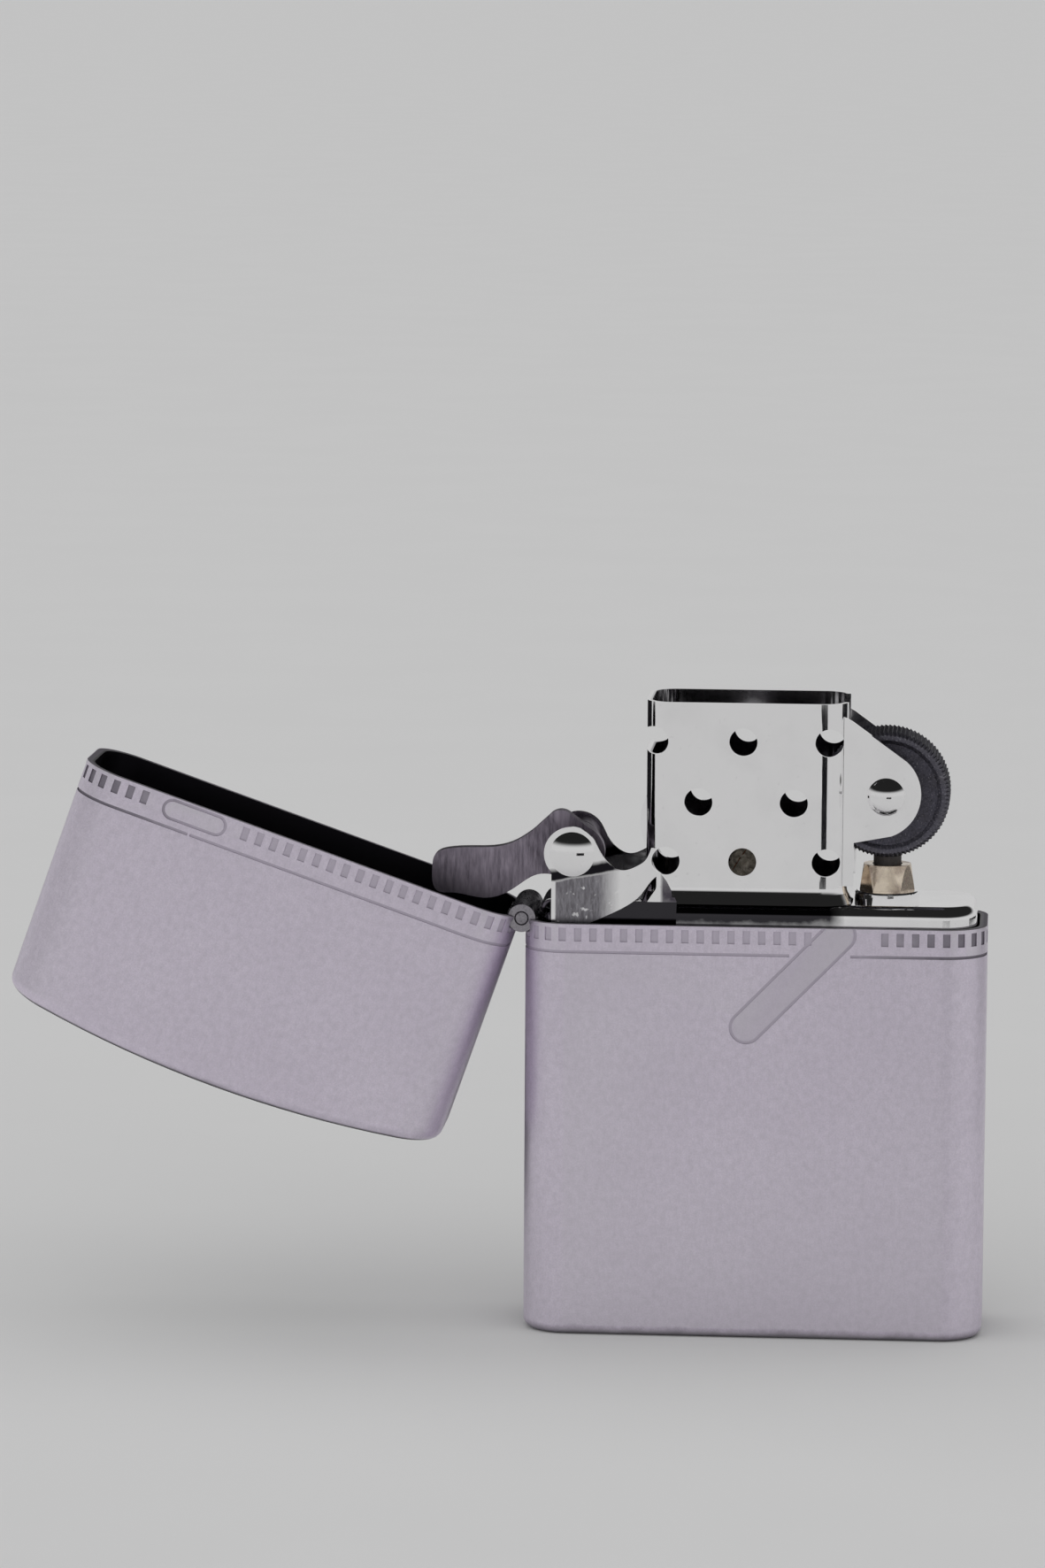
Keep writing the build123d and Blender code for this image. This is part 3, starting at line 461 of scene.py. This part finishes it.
MATERIALS = {
    "case_metal": satin_shell("satin case metal", False),
    "lid_metal": satin_shell("satin lid metal", True),
    "hinge_steel": brushed_steel("hinge steel", (0.30, 0.285, 0.31), (0.11, 0.105, 0.12), (1, 0.08, 1), 0.24),
    "insert_steel": tank_steel("polished tank steel"),
    "chimney_steel": chimney_steel("polished chimney steel"),
    "cam_steel": brushed_steel(
        "brushed cam steel", (0.34, 0.30, 0.36), (0.15, 0.13, 0.165), (1, 1, 0.14), 0.42, 3600
    ),
    "rivet_steel": polished_steel("polished rivet steel", (0.95, 0.945, 0.95), 0.05, 0.9),
    "spring_steel": brushed_steel("spring steel", (0.40, 0.40, 0.43), (0.20, 0.20, 0.24), (1, 0.1, 1), 0.3),
    "wheel_steel": dark_wheel("dark striker steel"),
    "brass": turned_brass("turned brass"),
    "flint_alloy": flint_alloy("flint alloy"),
    "wick_cord": soft_fibre(
        "wick cotton", (0.78, 0.72, 0.62), (0.52, 0.45, 0.36), 0.00006, 5200, 0.2, 0.0425, 0.0445
    ),
    "packing_fibre": soft_fibre("packing fibre", (0.93, 0.92, 0.90), (0.70, 0.69, 0.66), 0.0001, 2600),
    "felt": soft_fibre("pressed felt", (0.80, 0.79, 0.75), (0.50, 0.48, 0.44), 0.00012, 2400),
}

slots = {s["node"]: s["material_slot"] for s in frame["record"]["subparts"]}
for name, obj in nodes.items():
    obj.data.materials.clear()
    obj.data.materials.append(MATERIALS[slots[name]])


# ------------------------------------------------------------------ mesh helpers
def finish_piece(obj, body, material, replaced=None, angle=35.0):
    """Material, shading, body and slot for a new piece."""
    obj.data.materials.clear()
    obj.data.materials.append(MATERIALS[material])
    for p in obj.data.polygons:
        p.use_smooth = True
    obj.data.set_sharp_from_angle(angle=math.radians(angle))
    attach(obj, body)
    if replaced:
        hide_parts(*replaced)
    return obj


def new_object(name, bm):
    mesh = bpy.data.meshes.new(name)
    bmesh.ops.recalc_face_normals(bm, faces=bm.faces)
    bm.to_mesh(mesh)
    bm.free()
    obj = bpy.data.objects.new(name, mesh)
    scene.collection.objects.link(obj)
    return obj


def tube(bm, points, radius, sides=8):
    """A round tube along points, with a frame carried along so it doesn't twist."""
    rings = []
    up = Vector((0, 0, 1))
    for i, p in enumerate(points):
        a = points[max(i - 1, 0)]
        b = points[min(i + 1, len(points) - 1)]
        t = (b - a).normalized()
        if abs(t.dot(up)) > 0.95:
            side = t.cross(Vector((1, 0, 0))).normalized()
        else:
            side = t.cross(up).normalized()
        over = side.cross(t).normalized()
        ring = []
        for j in range(sides):
            w = 2 * math.pi * j / sides
            ring.append(bm.verts.new(p + side * (radius * math.cos(w)) + over * (radius * math.sin(w))))
        rings.append(ring)
    for r0, r1 in zip(rings, rings[1:]):
        for j in range(sides):
            bm.faces.new((r0[j], r0[(j + 1) % sides], r1[(j + 1) % sides], r1[j]))
    bm.faces.new(list(reversed(rings[0])))
    bm.faces.new(rings[-1])


# ------------------------------------------------------------------ striker wheel
low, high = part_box("striker_wheel")
wheel_centre = Vector(((low.x + high.x) / 2, 0, (low.z + high.z) / 2))
wheel_outer = (high.x - low.x) / 2
WHEEL_HALF = 2.6 * MM
HUB_RADIUS = 1.8 * MM
HUB_HALF = 3.33 * MM
BORE = 0.85 * MM
TEETH = 92
ROWS = 26
TOOTH_DEPTH = 0.17 * MM


def knurled_wheel():
    """Wheel whose rim is cut by two crossing sets of fine grooves, leaving rows of small teeth."""
    bm = bmesh.new()
    around = TEETH * 4
    rows = []
    for i in range(ROWS + 1):
        f = i / ROWS
        y = -WHEEL_HALF + 2 * WHEEL_HALF * f
        edge = min(f, 1 - f) * 2 * WHEEL_HALF
        bevel = max(0.0, 0.3 * MM - edge)
        ring = []
        for j in range(around):
            w = 2 * math.pi * j / around
            saw = (j % 4) / 3.0
            slant = (j / 4 + i * 0.5) % 1.0
            cut = TOOTH_DEPTH * (0.62 * (1 - saw) + 0.38 * (1 if slant < 0.34 else 0))
            if i in (0, ROWS):
                cut = TOOTH_DEPTH * 0.7 * (1 - saw)
            wobble = 0.012 * MM * noise.noise(Vector((math.cos(w) * 9, f * 6, math.sin(w) * 9)))
            r = wheel_outer - bevel - cut + wobble - 0.012 * MM
            ring.append(bm.verts.new(wheel_centre + Vector((r * math.cos(w), y, r * math.sin(w)))))
        rows.append(ring)
    for a, b in zip(rows, rows[1:]):
        for j in range(around):
            bm.faces.new((a[j], a[(j + 1) % around], b[(j + 1) % around], b[j]))
    # side faces: dished, running in to the hub and the bore
    for ring, sign in ((rows[0], -1), (rows[-1], 1)):
        profile = (
            (wheel_outer * 0.86, WHEEL_HALF),
            (wheel_outer * 0.80, WHEEL_HALF - 0.18 * MM),
            (wheel_outer * 0.46, WHEEL_HALF - 0.18 * MM),
            (HUB_RADIUS + 0.15 * MM, WHEEL_HALF),
            (HUB_RADIUS, WHEEL_HALF + 0.1 * MM),
            (HUB_RADIUS, HUB_HALF - 0.08 * MM),
            (HUB_RADIUS - 0.08 * MM, HUB_HALF),
            (BORE + 0.08 * MM, HUB_HALF),
            (BORE, HUB_HALF - 0.08 * MM),
        )
        last = ring
        for r, y in profile:
            now = []
            for j in range(around):
                w = 2 * math.pi * j / around
                now.append(bm.verts.new(wheel_centre + Vector((r * math.cos(w), sign * y, r * math.sin(w)))))
            for j in range(around):
                bm.faces.new((last[j], last[(j + 1) % around], now[(j + 1) % around], now[j]))
            last = now
        if sign < 0:
            bore_front = last
        else:
            bore_back = last
    for j in range(around):
        k = (j + 1) % around
        bm.faces.new((bore_front[j], bore_front[k], bore_back[k], bore_back[j]))
    return new_object("striker_wheel_knurled", bm)


finish_piece(knurled_wheel(), "wheel", "wheel_steel", ["striker_wheel"], 28)

# ------------------------------------------------------------------ wick: braided cotton round copper strands
low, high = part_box("wick")
wick_axis = Vector(((low.x + high.x) / 2, 0, 0))
wick_radius = (high.x - low.x) / 2
wick_low, wick_high = low.z, high.z


def braided_wick():
    """Sixteen cotton yarns braided over and under, eight each way, over a packed core."""
    bm = bmesh.new()
    rng = random.Random(11)
    yarns = 8
    pitch = 7.0 * MM
    steps = 150
    yarn = wick_radius * 0.24
    ride_radius = wick_radius - yarn * 1.35
    for way in (-1, 1):
        for n in range(yarns):
            start = 2 * math.pi * n / yarns
            top = wick_high - yarn - rng.uniform(0.0, 0.5) * MM
            points = []
            for i in range(steps + 1):
                z = wick_low + yarn + (top - wick_low - yarn) * i / steps
                w = start + way * 2 * math.pi * z / pitch
                over = math.sin((2 * math.pi * z / pitch) * yarns + (0 if way > 0 else math.pi) + n * math.pi)
                r = ride_radius + 0.32 * yarn * over
                points.append(wick_axis + Vector((r * math.cos(w), r * math.sin(w), z)))
            tube(bm, points, yarn, 8)
    core = []
    for i in range(40):
        z = wick_low + yarn + (wick_high - wick_low - 3 * yarn) * i / 39
        core.append(wick_axis + Vector((0, 0, z)))
    tube(bm, core, ride_radius * 0.92, 24)
    return new_object("wick_braid", bm)


def copper_strands():
    """Fine copper wires that run up with the yarns and stand just proud at the top."""
    bm = bmesh.new()
    rng = random.Random(5)
    for n in range(4):
        start = 2 * math.pi * (n + 0.5) / 4
        points = []
        top = wick_high - rng.uniform(0.05, 0.35) * MM
        for i in range(121):
            z = wick_low + 0.2 * MM + (top - wick_low - 0.2 * MM) * i / 120
            w = start + 2 * math.pi * z / (11 * MM)
            r = wick_radius * 0.90
            points.append(wick_axis + Vector((r * math.cos(w), r * math.sin(w), z)))
        tube(bm, points, 0.06 * MM, 6)
    return new_object("wick_copper_strands", bm)


finish_piece(braided_wick(), "wick", "wick_cord", ["wick"], 60)
copper = Look("wick copper")
stain = copper.noise(copper.place(), 2600, 4.0, 0.6)
copper.to("Base Color", copper.mix(copper.span(stain, 0.35, 0.7), (0.86, 0.47, 0.28), (0.34, 0.17, 0.10)))
copper.to("Roughness", copper.span(stain, 0.3, 0.7, 0.25, 0.5))
copper.set(Metallic=1.0)
copper.to("Normal", copper.bump(stain, 0.00001, 0.5))
MATERIALS["copper"] = copper.mat
strands = copper_strands()
finish_piece(strands, "wick", "copper")

# ------------------------------------------------------------------ felt pad and fibre packing
def remeshed_copy(node, name, voxel):
    """The CAD solid again as an even mesh, fine enough to roughen."""
    bm = bmesh.new()
    bm.from_mesh(nodes[node].data)
    piece = new_object(name, bm)
    remesh = piece.modifiers.new("remesh", "REMESH")
    remesh.mode = "VOXEL"
    remesh.voxel_size = voxel
    bpy.context.view_layer.objects.active = piece
    piece.select_set(True)
    bpy.ops.object.modifier_apply(modifier="remesh")
    piece.select_set(False)
    return piece


def felt_pad():
    """Pressed felt: flat top and bottom, with an uneven, fuzzy surface."""
    low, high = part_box("felt_pad")
    felt = remeshed_copy("felt_pad", "felt_pad_fuzzy", 0.22 * MM)
    for v in felt.data.vertices:
        fuzz = noise.fractal(v.co * 1800, 1.0, 2.0, 4)
        lump = noise.fractal(v.co * 420, 1.0, 2.0, 3)
        v.co += v.normal * (0.05 * MM * fuzz + 0.06 * MM * lump - 0.08 * MM)
        v.co.z = min(max(v.co.z, low.z), high.z)
    finish_piece(felt, "inside_unit", "felt", ["felt_pad"], 70)


def fibre_packing():
    """A wad of fibre, lumpy all over and kept inside the tank."""
    low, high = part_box("packing")
    wool = remeshed_copy("packing", "packing_fibre_wad", 0.55 * MM)
    for v in wool.data.vertices:
        ball = noise.fractal(v.co * 230, 1.0, 2.0, 2)
        lint = noise.fractal(v.co * 1500, 1.0, 2.0, 4)
        v.co += v.normal * (0.22 * MM * ball + 0.05 * MM * lint - 0.2 * MM)
        for i in range(3):
            v.co[i] = min(max(v.co[i], low[i]), high[i])
    finish_piece(wool, "inside_unit", "packing_fibre", ["packing"], 70)


felt_pad()
fibre_packing()

# ------------------------------------------------------------------ camera
# fitted to the object's outline, apart from the distance, which was given
AZIMUTH = math.radians(4.47)
ELEVATION = math.radians(7.70)
ROLL = math.radians(0.33)
DISTANCE = 0.550
TARGET = Vector((-0.01961, 0.0, 0.04510))
SENSOR_WIDTH = 36.0
FOCAL_LENGTH = 152.3

camera_data = bpy.data.cameras.new("camera")
camera = bpy.data.objects.new("camera", camera_data)
scene.collection.objects.link(camera)
back = Vector((
    math.sin(AZIMUTH) * math.cos(ELEVATION),
    -math.cos(AZIMUTH) * math.cos(ELEVATION),
    math.sin(ELEVATION),
))
right = Vector((math.cos(AZIMUTH), math.sin(AZIMUTH), 0))
up = back.cross(right)
right_rolled = right * math.cos(ROLL) + up * math.sin(ROLL)
up_rolled = up * math.cos(ROLL) - right * math.sin(ROLL)
turn = Matrix((right_rolled, up_rolled, back)).transposed().to_4x4()
camera.matrix_world = Matrix.Translation(TARGET + back * DISTANCE) @ turn
camera_data.sensor_width = SENSOR_WIDTH
camera_data.lens = FOCAL_LENGTH
camera_data.clip_start = 0.01
camera_data.clip_end = 50.0
scene.camera = camera

# ------------------------------------------------------------------ floor and light
def floor_plane():
    """A pale matt floor, wide enough to reach the skyline."""
    bm = bmesh.new()
    half = 60.0
    corners = ((-half, -half), (half, -half), (half, half), (-half, half))
    bm.faces.new([bm.verts.new((x, y, 0.0)) for x, y in corners])
    obj = new_object("floor", bm)
    k = Look("pale floor")
    dust = k.noise(k.place(), 40, 3.0, 0.5)
    k.to("Base Color", k.mix(k.span(dust, 0.3, 0.7), (0.795, 0.795, 0.795), (0.805, 0.805, 0.805)))
    k.set(Roughness=1.0, Specular_IOR_Level=0.0)
    obj.data.materials.append(k.mat)


def flag(name, from_degrees, to_degrees, side, centre=0.0, reach=0.20, low=0.006, high=0.031):
    """A low black card, bent round the object, seen only in the gloss of the metal."""
    bm = bmesh.new()
    count = 12
    columns = []
    for i in range(count + 1):
        w = math.radians(from_degrees + (to_degrees - from_degrees) * i / count)
        x = centre + side * reach * math.sin(w)
        y = -reach * math.cos(w)
        columns.append([bm.verts.new((x, y, z)) for z in (low, high)])
    for a, b in zip(columns, columns[1:]):
        bm.faces.new((a[0], b[0], b[1], a[1]))
    obj = new_object(name, bm)
    k = Look(name + " card")
    nap = k.noise(k.place(), 300, 3.0, 0.5)
    k.to("Base Color", k.mix(nap, (0.012, 0.012, 0.014), (0.022, 0.021, 0.024)))
    k.set(Roughness=1.0, Specular_IOR_Level=0.0)
    obj.data.materials.append(k.mat)
    obj.visible_camera = False
    obj.visible_diffuse = False
    obj.visible_shadow = False


floor_plane()
flag("flag_right_near", 5, 27, 1)
flag("flag_right_far", 98, 140, 1)
flag("flag_left_far", 140, 172, -1)
flag("flag_left_near", 112, 196, -1, centre=-0.019, reach=0.05, low=0.0005, high=0.05)

# studio: an even pale surround that falls off to dark overhead, by the height of the direction
HORIZON_LIGHT = 0.58
CEILING_LIGHT = 0.015
FALL_START = 0.20
FALL_END = 0.44
LAMP_ENERGY = 2.00
LAMP_SPREAD = math.radians(130)
LAMP_DIRECTION = Vector((0.15, 0.30, -1.0))

world = bpy.data.worlds.new("studio")
scene.world = world
world.use_nodes = True
tree = world.node_tree
surround = tree.nodes["Background"]
sky_place = tree.nodes.new("ShaderNodeTexCoord")
sky_parts = tree.nodes.new("ShaderNodeSeparateXYZ")
tree.links.new(sky_place.outputs["Generated"], sky_parts.inputs[0])
fall = tree.nodes.new("ShaderNodeMapRange")
fall.interpolation_type = "SMOOTHSTEP"
fall.inputs["From Min"].default_value = FALL_START
fall.inputs["From Max"].default_value = FALL_END
fall.inputs["To Min"].default_value = HORIZON_LIGHT
fall.inputs["To Max"].default_value = CEILING_LIGHT
tree.links.new(sky_parts.outputs[2], fall.inputs["Value"])
surround.inputs[0].default_value = (1.0, 1.0, 1.0, 1)
tree.links.new(fall.outputs["Result"], surround.inputs[1])

# one large soft lamp that lights what is matt; the metal shows only the studio round it
lamp_data = bpy.data.lights.new("soft overhead", "SUN")
lamp_data.energy = LAMP_ENERGY
lamp_data.angle = LAMP_SPREAD
lamp = bpy.data.objects.new("soft overhead", lamp_data)
scene.collection.objects.link(lamp)
lamp.rotation_euler = LAMP_DIRECTION.to_track_quat("-Z", "Y").to_euler()
lamp.visible_glossy = False

scene.view_settings.view_transform = "Standard"
